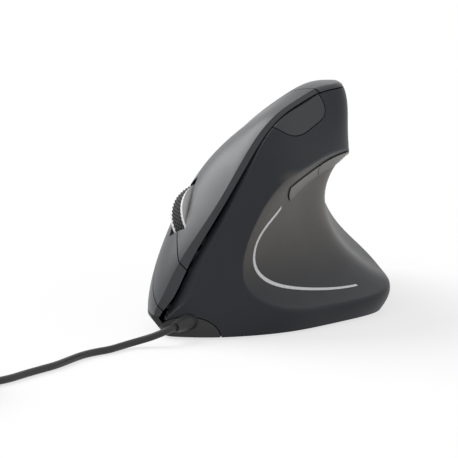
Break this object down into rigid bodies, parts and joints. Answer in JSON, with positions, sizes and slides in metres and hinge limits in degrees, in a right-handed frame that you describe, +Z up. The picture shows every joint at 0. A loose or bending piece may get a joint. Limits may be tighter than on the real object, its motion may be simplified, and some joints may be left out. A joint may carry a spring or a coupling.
{
  "type": "ergonomic computer mouse",
  "caption": "Sculpted right-hand computer mouse with a tall slanted hand side, thumb hollow, click plates, scroll wheel, small side buttons and a corded plug.",
  "frame": {"origin": "on the table, under the middle of the mouse's own box, the cord left out", "axes": "+Z up, +Y from the cord end towards the palm, +X towards the thumb side"},
  "size_m": [0.1265, 0.225, 0.0731],
  "materials": {
    "shell": "fine soft-touch texture",
    "base": "fine moulded texture",
    "stripe": "smooth silver lacquer",
    "side_button": "smooth satin",
    "foot": "slick polymer pad",
    "board": "solder mask",
    "lens": "clear moulded optic",
    "chip": "moulded package",
    "led": "tinted clear epoxy",
    "ballast": "plain sheet steel",
    "socket": "natural nylon",
    "switch": "moulded switch case",
    "plunger": "natural polymer",
    "hub": "moulded",
    "tyre": "knurled rubber",
    "rim": "bright plated",
    "steel": "plated steel",
    "ribbon": "flat laminated cable",
    "cord": "satin flexible jacket",
    "tie": "flat strap",
    "plug": "satin overmould",
    "insert": "contact carrier"
  },
  "bodies": {
    "chassis": {"thumb_shell": "shell", "palm_shell": "shell", "base_tray": "base", "trim_strip": "stripe", "nose_foot": "foot", "thumb_foot": "foot", "heel_foot": "foot", "edge_foot": "foot", "main_board": "board", "sensor_lens": "lens", "sensor_chip": "chip", "sensor_led": "led", "led_clip": "chip", "ballast_plate": "ballast", "cable_socket": "socket", "button_board": "board", "left_switch": "switch", "right_switch": "switch", "wheel_switch": "switch", "wheel_emitter": "led", "wheel_receiver": "chip", "wheel_bracket": "hub", "carrier_pin": "steel", "dpi_board": "board", "dpi_switch": "switch", "side_board": "board", "forward_switch": "switch", "back_switch": "switch", "board_screws": "steel", "case_screws": "steel", "board_ribbon": "ribbon", "strain_relief": "cord", "inner_lead": "cord", "cord_lead": "cord", "cord_coil": "cord", "cord_tail": "cord", "cord_tie": "tie", "plug_body": "plug", "plug_shell": "steel", "plug_insert": "insert"},
    "left_click_plate": {"left_button": "shell"},
    "right_click_plate": {"right_button": "shell"},
    "wheel_rocker": {"wheel_carrier": "hub", "wheel_axle": "steel"},
    "scroll_wheel": {"wheel_hub": "hub", "wheel_tyre": "tyre", "upper_rim": "rim", "lower_rim": "rim"},
    "dpi_cap": {"dpi_button": "shell"},
    "forward_cap": {"forward_button": "side_button"},
    "back_cap": {"back_button": "side_button"},
    "left_stem": {"left_plunger": "plunger"},
    "right_stem": {"right_plunger": "plunger"},
    "wheel_stem": {"wheel_plunger": "plunger"},
    "dpi_stem": {"dpi_plunger": "plunger"},
    "forward_stem": {"forward_plunger": "plunger"},
    "back_stem": {"back_plunger": "plunger"}
  },
  "joints": [
    {"name": "left_click", "type": "hinge", "parent": "chassis", "child": "left_click_plate", "pos_m": [-0.0024, -0.0115, 0.064], "axis": [0.9023, 0, 0.4311], "range_deg": [0, 0.6], "stiffness_Nm_per_rad": 1.5, "springref_deg": -0.34},
    {"name": "right_click", "type": "hinge", "parent": "chassis", "child": "right_click_plate", "pos_m": [-0.0215, -0.0115, 0.048], "axis": [0.4907, 0, 0.8713], "range_deg": [0, 0.9], "stiffness_Nm_per_rad": 1, "springref_deg": -0.46},
    {"name": "wheel_click", "type": "hinge", "parent": "chassis", "child": "wheel_rocker", "pos_m": [-0.01582, -0.02713, 0.04351], "axis": [0.7792, -0.406, 0.4775], "range_deg": [0, 0.7], "stiffness_Nm_per_rad": 1.5, "springref_deg": -0.57},
    {"name": "wheel_spin", "type": "hinge", "parent": "wheel_rocker", "child": "scroll_wheel", "pos_m": [-0.0147, -0.03757, 0.03279], "axis": [0.7792, -0.406, 0.4775], "continuous": true},
    {"name": "dpi_press", "type": "slide", "parent": "chassis", "child": "dpi_cap", "axis": [-0.8717, 0.3707, -0.3206], "range_m": [0, 0.0004], "stiffness_N_per_m": 800, "springref_m": -0.0006},
    {"name": "forward_press", "type": "slide", "parent": "chassis", "child": "forward_cap", "axis": [-0.8216, 0.1002, 0.5611], "range_m": [0, 0.0004], "stiffness_N_per_m": 800, "springref_m": -0.0006},
    {"name": "back_press", "type": "slide", "parent": "chassis", "child": "back_cap", "axis": [-0.8216, 0.1002, 0.5611], "range_m": [0, 0.0004], "stiffness_N_per_m": 800, "springref_m": -0.0006},
    {"name": "left_stem_slide", "type": "slide", "parent": "chassis", "child": "left_stem", "axis": [0.6223, 0.5922, -0.5119], "range_m": [0, 0.000383]},
    {"name": "right_stem_slide", "type": "slide", "parent": "chassis", "child": "right_stem", "axis": [0.6223, 0.5922, -0.5119], "range_m": [0, 0.000379]},
    {"name": "wheel_stem_slide", "type": "slide", "parent": "chassis", "child": "wheel_stem", "axis": [0.6223, 0.5922, -0.5119], "range_m": [0, 0.000374]},
    {"name": "dpi_stem_slide", "type": "slide", "parent": "chassis", "child": "dpi_stem", "axis": [-0.8717, 0.3707, -0.3206], "range_m": [0, 0.0004]},
    {"name": "forward_stem_slide", "type": "slide", "parent": "chassis", "child": "forward_stem", "axis": [-0.8216, 0.1002, 0.5611], "range_m": [0, 0.0004]},
    {"name": "back_stem_slide", "type": "slide", "parent": "chassis", "child": "back_stem", "axis": [-0.8216, 0.1002, 0.5611], "range_m": [0, 0.0004]}
  ],
  "couplings": [
    {"joint": "left_stem_slide", "follows": "left_click", "m_per_rad": 0.03583},
    {"joint": "right_stem_slide", "follows": "right_click", "m_per_rad": 0.02367},
    {"joint": "wheel_stem_slide", "follows": "wheel_click", "m_per_rad": 0.03},
    {"joint": "dpi_stem_slide", "follows": "dpi_press", "ratio": 1},
    {"joint": "forward_stem_slide", "follows": "forward_press", "ratio": 1},
    {"joint": "back_stem_slide", "follows": "back_press", "ratio": 1}
  ]
}
